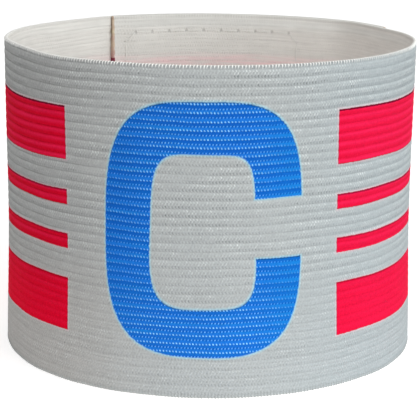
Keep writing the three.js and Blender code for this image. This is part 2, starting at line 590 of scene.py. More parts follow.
def make_seam(name, base, face_depth, outward):
    """Thread stitches from hole to hole. outward is 1 where they lie on the outer face, -1 on the inner."""
    holes = seam_holes(base)
    start, end = holes[:-1, None, :], holes[1:, None, :]
    points = start + (end - start) * column_of(THREAD_FORM, "share")[:, None]
    rise = column_of(THREAD_FORM, "rise")
    dip = seam_dip(points[..., 0], points[..., 1])
    paths = place(points[..., 0], points[..., 1], face_depth + outward * (dip - rise))
    aside = outward_at(points[:, len(THREAD_FORM) // 2, 0])
    return make_tubes(name, paths, THREAD_RADIUS, aside, THREAD_SIDES)


def make_tape(name, ground):
    """The woven ground of a pad, a thin wall that reaches a little towards the strip's cut end."""
    rows = np.linspace(PAD_LOW, PAD_HIGH, TAPE_ROWS)
    z = np.concatenate([rows, rows[::-1]])
    depth = np.repeat([ground["near"], ground["far"]], TAPE_ROWS)
    share = np.linspace(0, 1, TAPE_STATIONS)[:, None]
    start = PAD_SETBACK - TAPE_REACH
    length = FULL_TURN + start + (PAD_LENGTH + TAPE_REACH) * share
    vertices = place(length, z, depth)
    return mesh_object(name, vertices.reshape(-1, 3), strip_faces(TAPE_STATIONS, 2 * TAPE_ROWS))


def make_pile(name, form, ground_depth, inward, offset, turned, radius):
    """Hooks or loops in rows on a ground. inward is 1 where they stand towards the ring's axis, else -1,
    and turned is 1 where each faces its own way, else 0."""
    rng = np.random.default_rng(SEED)
    along = np.arange(PAD_SETBACK + PILE_MARGIN + offset, PAD_SETBACK + PAD_LENGTH - PILE_MARGIN, PILE_PITCH)
    up = np.arange(PAD_LOW + PILE_MARGIN, PAD_HIGH - PILE_MARGIN, PILE_PITCH)
    lengths, heights = (grid.ravel() for grid in np.meshgrid(along, up))
    count = len(lengths)
    turn = rng.uniform(-math.pi, math.pi, (count, 1)) * turned
    reach = column_of(form, "along")
    rise = column_of(form, "up") * PILE_HEIGHT * rng.uniform(*PILE_HEIGHT_SPREAD, (count, 1))
    length = FULL_TURN + lengths[:, None] + reach * np.cos(turn)
    z = heights[:, None] + reach * np.sin(turn)
    paths = place(length, z, ground_depth + inward * rise)
    aside = np.cos(turn) * (0, 0, 1) + np.sin(turn) * tangent_at(FULL_TURN + lengths)
    return make_tubes(name, paths, radius, aside, FINE_SIDES)


def make_loose_fibres():
    """Short ends of yarn that stand out of both cuts."""
    rng = np.random.default_rng(SEED)
    share = np.linspace(0, 1, FIBRE_POINTS)
    each = (FIBRES_PER_END, 1)
    ends = []
    for end, outward in ((0.0, -1), (STRIP_LENGTH, 1)):
        length = end + outward * (rng.uniform(*FIBRE_REACH, each) * share - FIBRE_ROOT)
        z = rng.uniform(*FIBRE_HEIGHTS, each)
        z = z + rng.uniform(*FIBRE_RISE, each) * share ** 2
        depth = rng.uniform(*FIBRE_DEPTH, each)
        depth = depth + rng.uniform(*FIBRE_SINK, each) * share ** 2
        ends.append((length, z, depth))
    length, z, depth = (np.concatenate(parts) for parts in zip(*ends))
    paths = place(length, z, depth)
    aside = np.tile([[0.0, 0.0, 1.0]], (len(paths), 1))
    return make_tubes("loose_fibres", paths, FIBRE_RADIUS, aside, FINE_SIDES)


# Materials

class Value:
    """A number worked out by a material's nodes. Arithmetic on it adds Math nodes."""

    def __init__(self, tree, socket):
        self.tree = tree
        self.socket = socket

    def math(self, operation, *others):
        node = self.tree.nodes.new("ShaderNodeMath")
        node.operation = operation
        for slot, term in zip(node.inputs, (self, *others)):
            connect(self.tree, term, slot)
        return Value(self.tree, node.outputs[0])

    __add__ = partialmethod(math, "ADD")
    __sub__ = partialmethod(math, "SUBTRACT")
    __mul__ = partialmethod(math, "MULTIPLY")
    __truediv__ = partialmethod(math, "DIVIDE")
    __pow__ = partialmethod(math, "POWER")
    __abs__ = partialmethod(math, "ABSOLUTE")
    floor = partialmethod(math, "FLOOR")
    part = partialmethod(math, "FRACT")
    max = partialmethod(math, "MAXIMUM")
    min = partialmethod(math, "MINIMUM")

    def inverse(self):
        return (self * -1) + 1

    def ramp(self, low, high):
        """0 at low and 1 at high, with soft ends. low may be the larger."""
        node = self.tree.nodes.new("ShaderNodeMapRange")
        node.interpolation_type = "SMOOTHSTEP"
        for slot, term in zip(node.inputs, (self, low, high, 0.0, 1.0)):
            connect(self.tree, term, slot)
        return Value(self.tree, node.outputs[0])

    def spread(self, at_zero, at_one):
        """at_zero where this is 0 and at_one where it is 1."""
        return self * (at_one - at_zero) + at_zero

    def graded(self, first, second):
        """Goes softly from one level to another. Both arguments are a place and the level there."""
        return self.ramp(first[0], second[0]).spread(first[1], second[1])


def connect(tree, term, slot):
    if isinstance(term, Value):
        tree.links.new(term.socket, slot)
    else:
        slot.default_value = term


def mix(factor, first, second):
    """A colour from first to second. Each is a colour or the socket of one."""
    tree = factor.tree
    node = tree.nodes.new("ShaderNodeMix")
    node.data_type = "RGBA"
    connect(tree, factor, node.inputs["Factor"])
    for slot, colour in ((node.inputs[6], first), (node.inputs[7], second)):
        if isinstance(colour, bpy.types.NodeSocket):
            tree.links.new(colour, slot)
        else:
            slot.default_value = colour
    return node.outputs[2]


def shade(tree, colour, value):
    """A colour made lighter or darker by a number near 1."""
    node = tree.nodes.new("ShaderNodeVectorMath")
    node.operation = "SCALE"
    tree.links.new(colour, node.inputs[0])
    connect(tree, value, node.inputs["Scale"])
    return node.outputs[0]


def combine(tree, x, y, z=0.0):
    node = tree.nodes.new("ShaderNodeCombineXYZ")
    for slot, term in zip(node.inputs, (x, y, z)):
        connect(tree, term, slot)
    return node.outputs[0]


def noise(tree, vector, scale, detail):
    """Soft noise from 0 to 1, about 0.5 on the whole."""
    node = tree.nodes.new("ShaderNodeTexNoise")
    node.inputs["Scale"].default_value = scale
    node.inputs["Detail"].default_value = detail
    tree.links.new(vector, node.inputs["Vector"])
    return Value(tree, node.outputs[0])


def chance(tree, value):
    """A random number from 0 to 1 for each whole number."""
    node = tree.nodes.new("ShaderNodeTexWhiteNoise")
    node.noise_dimensions = "1D"
    connect(tree, value, node.inputs["W"])
    return Value(tree, node.outputs[0])


def new_material(name, roughness, sheen=0.0, specular=0.3):
    material = bpy.data.materials.new(name)
    material.use_nodes = True
    shader = material.node_tree.nodes["Principled BSDF"]
    shader.inputs["Roughness"].default_value = roughness
    shader.inputs["Sheen Weight"].default_value = sheen
    shader.inputs["Specular IOR Level"].default_value = specular
    return material, material.node_tree, shader


def add_bump(tree, shader, height, depth):
    """height in units of depth, which is in millimetres."""
    node = tree.nodes.new("ShaderNodeBump")
    node.inputs["Distance"].default_value = depth * MM
    connect(tree, height, node.inputs["Height"])
    tree.links.new(node.outputs[0], shader.inputs["Normal"])


def cloth_coordinates(tree):
    node = tree.nodes.new("ShaderNodeAttribute")
    node.attribute_name = "cloth"
    split = tree.nodes.new("ShaderNodeSeparateXYZ")
    tree.links.new(node.outputs["Vector"], split.inputs[0])
    return [Value(tree, socket) for socket in split.outputs]


def length_at(u):
    return u * -1 + FRONT_LENGTH


# The forms of the print, each 1 inside and 0 outside. edge is half the width of a soft edge.

def inside_superellipse(u, v, form, edge, grow=0.0):
    """A rounded form. taper widens it upwards, and a higher power makes a corner squarer."""
    off_u, off_v = u - form["u"], v - form["v"]
    across = abs(off_u) / (off_v * form["taper"] + (form["half_width"] + grow))
    up = abs(off_v) / (form["half_height"] + grow)
    power = off_u.ramp(-1, 1) * form["squarer_right"] + off_v.ramp(-1, 1) * form["squarer_top"]
    power = power + form["power"]
    level = (across ** power + up ** power) ** (power ** -1)
    soft = edge / form["half_width"]
    return level.ramp(1 + soft, 1 - soft)


def band_between(v, low, high, edge):
    return v.ramp(low - edge, low + edge) * v.ramp(high + edge, high - edge)


def letter_mask(u, v, edge, grow=0.0):
    """A plain block C: a rounded form, less its inside, less the opening at its right."""
    body = inside_superellipse(u, v, LETTER_OUTSIDE, edge, grow)
    hollow = inside_superellipse(u, v, LETTER_INSIDE, edge, -grow)
    opening = band_between(v, LETTER_OPENING["low"] + grow, LETTER_OPENING["high"] - grow, edge)
    opening = opening * u.ramp(LETTER_INSIDE["u"], LETTER_INSIDE["u"] + 1)
    return body * hollow.max(opening).inverse()


def stripe_rows(v, edge, shrink=0.0, shrink_top=0.0):
    rows = None
    for stripe in STRIPES:
        row = band_between(v, stripe["low"] + shrink, stripe["high"] - shrink_top, edge)
        rows = row if rows is None else rows.max(row)
    return rows


def beside_letter(u, v, edge, shrink=0.0):
    """Where the stripes run: from both sides of the letter to the strip's ends. shrink may be below 0."""
    left = u + v * STRIPES_LEFT["lean"] + (shrink - STRIPES_LEFT["u"])
    right = u + v * STRIPES_RIGHT["lean"] - (shrink + STRIPES_RIGHT["u"])
    return left.ramp(edge, -edge).max(right.ramp(-edge, edge))


def stripe_mask(u, v, edge, shrink=0.0):
    return beside_letter(u, v, edge, shrink) * stripe_rows(v, edge, shrink, shrink)


# The webbing's colours
GREY_INK = srgb(165, 168, 168)
# The next two greys stand for light, not ink: painted cool light at the right and painted warm shade at the
# left
GREY_IN_PAINTED_COOL_LIGHT = srgb(146, 164, 172)
GREY_IN_PAINTED_WARM_SHADE = srgb(168, 166, 163)
GREY_SLOT = srgb(126, 130, 130)
GREY_DASH = srgb(200, 204, 203)
BLUE_INK = srgb(26, 106, 197)
BLUE_DEEP = srgb(12, 82, 173)
BLUE_DOT = srgb(146, 206, 250)
BLUE_DOT_FAINT = srgb(120, 180, 242)
TEAL_INK = srgb(22, 122, 196)
RED_INK = srgb(204, 0, 34)
# The next two reds stand for light: a painted highlight along the ribs, and the red paler and pinker in the
# painted light at the right
RED_PAINTED_RIB_HIGHLIGHT = srgb(240, 36, 86)
RED_IN_PAINTED_LIGHT = srgb(218, 34, 82)
OVERPRINT = srgb(72, 0, 28)
SIDE_OVERPRINT = srgb(120, 0, 62)
BLUE_OVERPRINT = srgb(16, 72, 112)
PLAIN_YARN = srgb(226, 224, 219)
# Painted highlight: the yarn over the rims lighter than the plain yarn, as where it faces the light
RIM_YARN_PAINTED_HIGHLIGHT = srgb(250, 249, 245)
PALE_RED = srgb(208, 178, 184)
PALE_BLUE = srgb(150, 200, 214)
SHOW_THROUGH_RED = srgb(240, 202, 204)
SHOW_THROUGH_BLUE = srgb(210, 216, 222)
SEARED_YARN = srgb(214, 198, 172)
SEARED_PRINT = srgb(186, 136, 138)
SEARED_RED = srgb(138, 64, 80)

# The cloth's noises: how fine each is, its detail, and how much of the way along the strip counts in it
NOISES = table(
    "name scale detail along",
    ("sway", 0.12, 2.0, 1.0),
    ("presence", 0.16, 3.0, 0.6),
    ("blotch", 0.35, 2.0, 1.0),
    ("rib_sway", 0.5, 3.0, 0.5),
    ("patch", 0.5, 3.0, 1.0),
    ("scorch", 0.5, 3.0, 0.0),
    ("vary", 0.9, 2.0, 1.0),
    ("long_streak", 0.9, 2.0, 0.06),
    ("mottle", 1.3, 3.0, 1.0),
    ("streak", 1.3, 2.0, 0.08),
    ("jitter", 1.6, 2.0, 1.0),
    ("yarn_line", 2.4, 2.0, 0.03),
    ("grain", 2.6, 2.0, 1.0),
    ("fibre", 3.0, 3.0, 3.0),
)

# The forms in the knit, in two staggered columns. phase is the place in a rib, as a share of its pitch, and
# shift is taken off it in wide ribs. across and up are half sizes in millimetres.
KNIT_FORMS = table(
    "name column phase shift across up slant",
    ("lower_dot", "lower", 0.13, 0.06, 0.19, 0.29, 0.25),
    ("upper_dot", "upper", 0.56, -0.05, 0.14, 0.19, -0.2),
    ("lower_slot", "upper", 0.13, 0.06, 0.13, 0.32, 0.3),
    ("upper_slot", "lower", 0.56, -0.05, 0.13, 0.3, -0.3),
    ("dash", "lower", 0.8, 0.0, 0.15, 0.3, 0.4),
    ("cross_dash", "upper", 0.52, 0.0, 0.15, 0.3, -0.4),
    ("mark", "upper", 0.24, 0.0, 0.16, 0.26, -0.3),
)
FORM_EDGE = (1.25, 0.55)
WIDE_RIBS = (0.45, 0.6)
RIB_SWAY = 0.3
COLUMN_SWAY = 0.5
COLUMN_JITTER = 0.25
COLUMNS_PER_RIB = 977  # more than the strip has, so that each rib has its own chances
DOT_BY_PRESENCE = (0.6, 1.0)
UPPER_ROW_SHARE = 0.85

# How clearly the knit shows, by its noise and from the lower rim to the upper
PRESENCE = ((0.3, 0.25), (0.66, 1.0))
PRESENCE_AT_RIMS = (0.6, 1.2)

# Parts of the cloth, as the range of u or of the side over which each comes in
FRONT = (115, 75)
RIGHT_SIDE = (5, 45)
LEFT_SIDE = (0, -35)
PRINTED_SIDE = (0.45, 0.6)
EDGE_JITTER = 0.3


class Cloth:
    """Where a point lies on the cloth and in its knit, which the parts of the webbing's material share."""

    def __init__(self, tree):
        self.tree = tree
        self.u, self.v, self.side = cloth_coordinates(tree)
        self.noise = self.make_noises()
        self.jitter = self.noise.jitter - 0.5
        self.edge_u = self.u + self.jitter * EDGE_JITTER
        self.edge_v = self.v + self.jitter * EDGE_JITTER
        self.outside = (self.side + self.jitter * EDGE_JITTER).ramp(*PRINTED_SIDE)
        self.front = abs(self.u).ramp(*FRONT)
        self.to_right = self.u.ramp(*RIGHT_SIDE) * self.front
        self.to_left = self.u.ramp(*LEFT_SIDE) * self.front
        upwards = (self.v * (1 / BAND_HEIGHT)).spread(*PRESENCE_AT_RIMS)
        self.presence = self.noise.presence.graded(*PRESENCE) * upwards
        self.find_place_in_knit()
        self.knit = self.make_knit_forms()

    def make_noises(self):
        noises = {}
        for row in NOISES:
            vector = combine(self.tree, self.u * row["along"], self.v)
            noises[row["name"]] = noise(self.tree, vector, row["scale"], row["detail"])
        return SimpleNamespace(**noises)

    def find_place_in_knit(self):
        """The rib and the column of stitches, and how far from its start the point lies in each."""
        sway = (self.noise.rib_sway - 0.5) * RIB_SWAY
        ribs = (self.v + sway - SELVEDGE) / RIB_PITCH
        rib = ribs.floor()
        self.phase = ribs - rib
        self.rib_chance = chance(self.tree, rib)
        lower = self.u / STITCH + (self.noise.sway - 0.5) * COLUMN_SWAY + self.jitter * COLUMN_JITTER
        upper = lower + 0.5
        columns = {"lower": lower, "upper": upper}
        self.across = {name: (place.part() - 0.5) * STITCH for name, place in columns.items()}
        self.column_chance = chance(self.tree, lower.floor())
        first = rib * COLUMNS_PER_RIB
        self.lower_chance = chance(self.tree, lower.floor() + first)
        self.upper_chance = chance(self.tree, upper.floor() + first + 0.5)

    def make_knit_forms(self):
        wide = self.rib_chance.ramp(*WIDE_RIBS)
        forms = {}
        for form in KNIT_FORMS:
            up = (self.phase - form["phase"] + wide * form["shift"]) * RIB_PITCH
            leaning = self.across[form["column"]] + up * form["slant"]
            level = ((leaning / form["across"]) ** 2 + (up / form["up"]) ** 2) ** 0.5
            forms[form["name"]] = level.ramp(*FORM_EDGE)
        for name in ("lower_dot", "upper_dot"):
            forms[name] = forms[name] * self.presence.spread(*DOT_BY_PRESENCE)
        forms["dots"] = forms["lower_dot"].max(forms["upper_dot"] * UPPER_ROW_SHARE)
        forms["slots"] = forms["lower_slot"].max(forms["upper_slot"] * UPPER_ROW_SHARE)
        return SimpleNamespace(**forms)


# The blue ink. A level is given with its place in u, in v, in a rib or in a noise.
TEAL_BY_STREAK = ((0.45, 0.0), (0.75, 0.5))
TEAL_BY_U = ((8, 0.0), (22, 0.6))
DEEP_HIGH_IN_RIB = (0.6, 0.76)
DEEP_LOW_IN_RIB = (0.07, 0.0)
DEEP_BY_V = ((12, 0.5), (40, 0.95))
DEEP_BY_BLOTCH = (0.5, 1.0)
DOTTED = 0.38
DOTTED_IN_MIDDLE = ((20, 0.0), (9, 0.45))
DOTTED_LOW = ((26, 0.0), (14, 0.3))
DOTTED_RIGHT = ((10, 0.0), (20, -0.2))
DOTTED_BY_NOISE = (0.15, 0.55)
DOT_SPREAD = (0.7, 1.1)

# The grey ink
# Painted light and shade: the grey tinted cool where the light falls at the right, and warm in the shade at
# the left, most near the lower rim
PAINTED_COOL_LIGHT_AT_RIGHT = 0.28
PAINTED_WARM_SHADE_BY_V = ((40, 0.3), (15, 0.8))
SLOT_SHARE = 0.4
DARK_BY_NOISE = (0.2, 0.7)
LIGHT_BY_PATCH = (0.25, 0.65)
DASH_SPREAD = (0.2, 1.3)
MARK_SPREAD = (0.4, 1.3)

# The red ink
# Painted light: a highlight along the upper side of each rib, stronger towards the upper rim, and the red
# pinker at the right
RIDGE_HIGHLIGHT_START = (0.25, 0.72)
RIDGE_HIGHLIGHT_END = (1.05, 0.7)
RIDGE_HIGHLIGHT_BY_V = ((14, 0.2), (48, 1.0))
RIDGE_HIGHLIGHT_BY_STREAK = (0.1, 1.0)
RIDGE_MOTTLE = 0.12
PAINTED_LIGHT_AT_RIGHT = 0.35


def blue_ink(cloth):
    """Deep between the ribs, with pale dots where stitches show through the ink."""
    u, v, noise, knit = cloth.u, cloth.v, cloth.noise, cloth.knit
    teal = noise.long_streak.graded(*TEAL_BY_STREAK).max(u.graded(*TEAL_BY_U))
    deep = cloth.phase.ramp(*DEEP_HIGH_IN_RIB).max(cloth.phase.ramp(*DEEP_LOW_IN_RIB))
    deep = deep * noise.blotch.spread(*DEEP_BY_BLOTCH) * v.graded(*DEEP_BY_V)
    dotted = abs(u).graded(*DOTTED_IN_MIDDLE) + v.graded(*DOTTED_LOW) + u.graded(*DOTTED_RIGHT) + DOTTED
    dotted = noise.vary.ramp(*DOTTED_BY_NOISE) * dotted
    blue = mix(teal, BLUE_INK, TEAL_INK)
    blue = mix(deep.max(knit.upper_slot), blue, BLUE_DEEP)
    blue = mix(knit.upper_dot * dotted * cloth.upper_chance.spread(*DOT_SPREAD), blue, BLUE_DOT_FAINT)
    return mix(knit.lower_dot * dotted * cloth.lower_chance.spread(*DOT_SPREAD), blue, BLUE_DOT)


def grey_ink(cloth):
    """Tinted cool at the right and warm at the left, a painted light and a painted shade, with dark marks
    and light dashes in each rib.
    """
    noise, knit = cloth.noise, cloth.knit
    grey = mix(cloth.to_right * PAINTED_COOL_LIGHT_AT_RIGHT, GREY_INK, GREY_IN_PAINTED_COOL_LIGHT)
    grey = mix(cloth.to_left * cloth.v.graded(*PAINTED_WARM_SHADE_BY_V), grey, GREY_IN_PAINTED_WARM_SHADE)
    dark = (knit.mark * cloth.upper_chance.spread(*MARK_SPREAD)).max(knit.slots * SLOT_SHARE)
    grey = mix(dark * noise.vary.ramp(*DARK_BY_NOISE) * cloth.presence, grey, GREY_SLOT)
    light = knit.dash * cloth.lower_chance.spread(*DASH_SPREAD)
    light = light.max(knit.cross_dash * cloth.upper_chance).min(1.0)
    return mix(light * noise.patch.ramp(*LIGHT_BY_PATCH) * cloth.presence, grey, GREY_DASH)


def red_ink(cloth):
    """With a painted highlight along each rib, and paler and pinker at the right, a painted light."""
    noise = cloth.noise
    painted_ridge_highlight = cloth.phase.ramp(*RIDGE_HIGHLIGHT_START) * cloth.phase.ramp(*RIDGE_HIGHLIGHT_END) * cloth.v.graded(*RIDGE_HIGHLIGHT_BY_V)
    bright = painted_ridge_highlight * noise.long_streak.spread(*RIDGE_HIGHLIGHT_BY_STREAK) + noise.mottle * RIDGE_MOTTLE
    return mix(cloth.to_right * PAINTED_LIGHT_AT_RIGHT, mix(bright, RED_INK, RED_PAINTED_RIB_HIGHLIGHT), RED_IN_PAINTED_LIGHT)


# The edges of the print: soft edges, how far a dark overprint reaches in and a pale halo out, and how
# strong each is
LETTER_EDGE = 0.16
LETTER_OVERPRINT = {"edge": 0.12, "drop": 0.32, "strength": 0.7}
LETTER_HALO = {"edge": 0.3, "reach": 0.3, "strength": 0.7}
STRIPE_EDGE = 0.1
STRIPE_OVERPRINT = {"edge": 0.1, "low": 0.1, "top": 0.42, "by_v": ((25, 0.4), (60, 0.85))}
STRIPE_END_OVERPRINT = {"edge": 0.08, "reach": 0.15, "strength": 0.75}
STRIPE_HALO = {"edge": 0.3, "reach": 0.35, "strength": 0.5}
SHOW_THROUGH_EDGE = 1.6
SHOW_THROUGH_BY_STREAK = (0.1, 0.9)


def overprinted_letter(cloth):
    """The blue, darker under the letter's upper edges, where it was printed over the grey."""
    core = letter_mask(cloth.edge_u, cloth.edge_v + LETTER_OVERPRINT["drop"], LETTER_OVERPRINT["edge"])
    dark = core.inverse() * LETTER_OVERPRINT["strength"] * cloth.knit.dots.inverse()
    return mix(dark, blue_ink(cloth), BLUE_OVERPRINT)


def overprinted_stripes(cloth):
    """The red, darker at the stripes' ends and under their upper edges."""
    form, end = STRIPE_OVERPRINT, STRIPE_END_OVERPRINT
    inside_ends = beside_letter(cloth.u, cloth.edge_v, end["edge"], shrink=end["reach"])
    red = mix(inside_ends.inverse() * end["strength"], red_ink(cloth), SIDE_OVERPRINT)
    rows = stripe_rows(cloth.edge_v, form["edge"], shrink=form["low"], shrink_top=form["top"])
    return mix(rows.inverse() * cloth.v.graded(*form["by_v"]), red, OVERPRINT)


def haloed_grey(cloth):
    """The grey, paler beside the letter and the stripes."""
    letter, stripe = LETTER_HALO, STRIPE_HALO
    letter_halo = letter_mask(cloth.edge_u, cloth.edge_v, letter["edge"], grow=letter["reach"])
    stripe_halo = stripe_mask(cloth.edge_u, cloth.edge_v, stripe["edge"], shrink=-stripe["reach"])
    grey = mix(letter_halo * letter["strength"], grey_ink(cloth), PALE_BLUE)
    return mix(stripe_halo * stripe["strength"], grey, PALE_RED)


def printed_face(cloth, letter, stripes):
    grey_and_blue = mix(letter, haloed_grey(cloth), overprinted_letter(cloth))
    return mix(stripes, grey_and_blue, overprinted_stripes(cloth))


def plain_face(cloth):
    """The unprinted inner face, where the print shows through faintly."""
    show_through = cloth.noise.streak.ramp(*SHOW_THROUGH_BY_STREAK)
    soft_stripes = stripe_mask(cloth.u, cloth.v, SHOW_THROUGH_EDGE) * show_through
    soft_letter = letter_mask(cloth.u, cloth.v, SHOW_THROUGH_EDGE) * show_through
    plain = mix(soft_stripes, PLAIN_YARN, SHOW_THROUGH_RED)
    return mix(soft_letter, plain, SHOW_THROUGH_BLUE)


# How much lighter or darker the cloth is, by its own tone and by painted light and shade. A level is given
# with its place in u, in v or in a rib.
BLOTCH = 0.1
STREAK = 0.1
RIB_CHANCE = 0.04
# Painted light: a little lighter near the lower rim
PAINTED_LIGHT_NEAR_LOWER_RIM = ((22, 0.0), (0, 0.03))
MOTTLE = 0.22
# Painted light and shade over each rib: lighter on its upper side and darker on its lower
PAINTED_RIB_SHADE = 0.07
PAINTED_RIB_SHADE_HEIGHT = (4, 40)
# Painted light: lighter towards the lower rim and darker towards the upper
PAINTED_LIGHT_TOWARDS_LOWER_RIM = 0.13
# Painted shade: darker at the left of the front
PAINTED_SHADE_AT_LEFT = (-12, -42)
PAINTED_SHADE_AT_LEFT_BY_V = ((5, 0.03), (35, 0.1))
PAINTED_SHADE_AT_LEFT_MIDDLE = 0.03
MIDDLE_START = (15, 35)
MIDDLE_END = (60, 45)
LOW_STRIPE = ((30, 0.0), (15, 0.05))
# Painted shade in the grooves between the ribs, deepest at the left
PAINTED_GROOVE_SHADE_LOW_IN_RIB = (0.14, 0.02)
PAINTED_GROOVE_SHADE_HIGH_IN_RIB = (0.88, 0.99)
PAINTED_GROOVE_SHADE_BY_STREAK = (0.2, 0.7)
PAINTED_GROOVE_SHADE_HEIGHT = (6, 40)
PAINTED_GROOVE_SHADE_BY_U = ((-8, 0.06), (-38, 0.23))
GRAIN_BY_V = ((40, 0.2), (12, 0.42))
INNER_YARN_LINES = 0.24
# Painted light on the inner wall at the right, and painted shade at its back
PAINTED_LIGHT_INNER_RIGHT_START = (50, 95)
PAINTED_LIGHT_INNER_RIGHT_END = (165, 125)
PAINTED_LIGHT_INNER_RIGHT_BY_V = ((76, 0.1), (62, 0.18))
PAINTED_SHADE_INNER_BACK = ((125, 0.01), (150, 0.065))
# Painted shade in the needle holes
HOLE_PAINTED_SHADE = 0.22
HOLE_EDGE = (1.5, 0.4)
UPRIGHT_HOLES_FURTHER = 0.3
FAR_PAST_SEAM = 100  # times the real distance, so that no hole shows past a seam's end


def common_lightness(cloth):
    noise = cloth.noise
    lightness = (noise.blotch - 0.5) * BLOTCH + (noise.streak - 0.5) * STREAK
    # The last term is painted light near the lower rim
    return lightness + (cloth.rib_chance - 0.5) * RIB_CHANCE + cloth.v.graded(*PAINTED_LIGHT_NEAR_LOWER_RIM)


def outer_lightness(cloth, letter, stripes):
    """Mottled, with painted light and shade over each rib, painted shade in its grooves and at the left, and
    painted light towards the lower rim.
    """
    u, v, noise, phase = cloth.u, cloth.v, cloth.noise, cloth.phase
    grain = (noise.grain - 0.5) * v.graded(*GRAIN_BY_V) + (noise.mottle - 0.5) * MOTTLE
    rib_light_wave = ((phase - 0.5) * (2 * math.pi)).math("SINE") * stripes.max(letter).inverse()
    painted_rib_shade = rib_light_wave * cloth.presence * v.ramp(*PAINTED_RIB_SHADE_HEIGHT) * PAINTED_RIB_SHADE
    painted_light_to_lower_rim = (v * -1 + BAND_HEIGHT / 2) / BAND_HEIGHT * PAINTED_LIGHT_TOWARDS_LOWER_RIM
    middle = v.ramp(*MIDDLE_START) * v.ramp(*MIDDLE_END)
    painted_shade_at_left = (v.graded(*PAINTED_SHADE_AT_LEFT_BY_V) + middle * PAINTED_SHADE_AT_LEFT_MIDDLE) * u.ramp(*PAINTED_SHADE_AT_LEFT) * cloth.front
    painted_groove_shade = phase.ramp(*PAINTED_GROOVE_SHADE_LOW_IN_RIB).max(phase.ramp(*PAINTED_GROOVE_SHADE_HIGH_IN_RIB))
    painted_groove_shade = painted_groove_shade * noise.streak.ramp(*PAINTED_GROOVE_SHADE_BY_STREAK) * v.ramp(*PAINTED_GROOVE_SHADE_HEIGHT) * u.graded(*PAINTED_GROOVE_SHADE_BY_U)
    lightness = grain + painted_rib_shade + painted_light_to_lower_rim - painted_shade_at_left - painted_groove_shade
    return lightness * cloth.outside + v.graded(*LOW_STRIPE) * stripes


def inner_lightness(cloth):
    """Drawn-out yarn lines, with painted light at the right and painted shade at the back."""
    u, v = cloth.u, cloth.v
    yarn_lines = (cloth.noise.yarn_line - 0.5) * INNER_YARN_LINES
    painted_light_right_wall = u.ramp(*PAINTED_LIGHT_INNER_RIGHT_START) * u.ramp(*PAINTED_LIGHT_INNER_RIGHT_END) * v.graded(*PAINTED_LIGHT_INNER_RIGHT_BY_V)
    return (yarn_lines + painted_light_right_wall - u.graded(*PAINTED_SHADE_INNER_BACK)) * cloth.outside.inverse()


def distance_to_hole(u, v):
    """Distance in millimetres from the nearest needle hole of the seams that hold the pads. The holes of
    the upright seams are fainter, so they are put a little further off."""
    length = length_at(u).math("MODULO", FULL_TURN) - SEAM_START
    height = v - SEAM_LOW
    seam_height = SEAM_HIGH - SEAM_LOW
    nearest = None
    for along, across, run, width, further in (
        (length, height, SEAM_LENGTH, seam_height, 0.0),
        (height, length, seam_height, SEAM_LENGTH, UPRIGHT_HOLES_FURTHER),
    ):
        step = run / round(run / SEAM_PITCH)
        beside = ((along / step).part() - 0.5) * step
        off = abs(across).min(abs(across - width))
        beyond = (along * -1).max(along - run).max(0.0) * FAR_PAST_SEAM
        distance = (beside ** 2 + off ** 2) ** 0.5 + beyond + further
        nearest = distance if nearest is None else nearest.min(distance)
    return nearest


# The cut ends, where the yarn was melted shut
SEARED_EDGE = (1.2, 0.7)
SEARED_JITTER = 0.15
SCORCHED = (0.35, 0.65)
SCORCH_SHARE = 0.5
BESIDE_PRINT = 2.5
BESIDE_PRINT_SHARE = 0.75


def sear_ends(cloth, colour, stripes):
    length = length_at(cloth.u)
    from_end = length.min(length * -1 + STRIP_LENGTH) + cloth.jitter * SEARED_JITTER
    seared = from_end.ramp(*(SEARED_LENGTH * share for share in SEARED_EDGE))
    near_print = stripe_rows(cloth.v, BESIDE_PRINT, shrink=-BESIDE_PRINT, shrink_top=-BESIDE_PRINT)
    tinted = (near_print * BESIDE_PRINT_SHARE).max(cloth.noise.scorch.ramp(*SCORCHED) * SCORCH_SHARE)
    scorched = mix(tinted, SEARED_YARN, SEARED_PRINT)
    return mix(seared, colour, mix(stripes, scorched, SEARED_RED))


# The fine relief of the webbing, in shares of its depth
RELIEF_DEPTH = 0.12
DOT_RELIEF = 0.7
SLOT_RELIEF = 0.5
FIBRE_RELIEF = 0.35
COLUMN_RELIEF = 0.1
HOLE_RELIEF = 1.5


def fine_relief(cloth, hole):
    stitches = cloth.knit.dots * DOT_RELIEF - cloth.knit.slots * SLOT_RELIEF
    fibres = cloth.noise.fibre * FIBRE_RELIEF + (cloth.column_chance - 0.5) * COLUMN_RELIEF
    return stitches + fibres - hole * HOLE_RELIEF


def make_webbing_material():
    material, tree, shader = new_material("printed_webbing", 0.95, specular=0.03)
    cloth = Cloth(tree)
    letter = letter_mask(cloth.edge_u, cloth.edge_v, LETTER_EDGE)
    stripes = stripe_mask(cloth.u, cloth.edge_v, STRIPE_EDGE)
    hole = distance_to_hole(cloth.u, cloth.v).ramp(*(HOLE_RADIUS * share for share in HOLE_EDGE))
    lightness = common_lightness(cloth) + outer_lightness(cloth, letter, stripes) + inner_lightness(cloth)
    colour = mix(cloth.outside, plain_face(cloth), printed_face(cloth, letter, stripes))
    # The needle holes are darkened with painted shade
    colour = shade(tree, colour, lightness - hole * HOLE_PAINTED_SHADE + 1)
    tree.links.new(sear_ends(cloth, colour, stripes), shader.inputs["Base Color"])
    add_bump(tree, shader, fine_relief(cloth, hole), RELIEF_DEPTH)
    return material


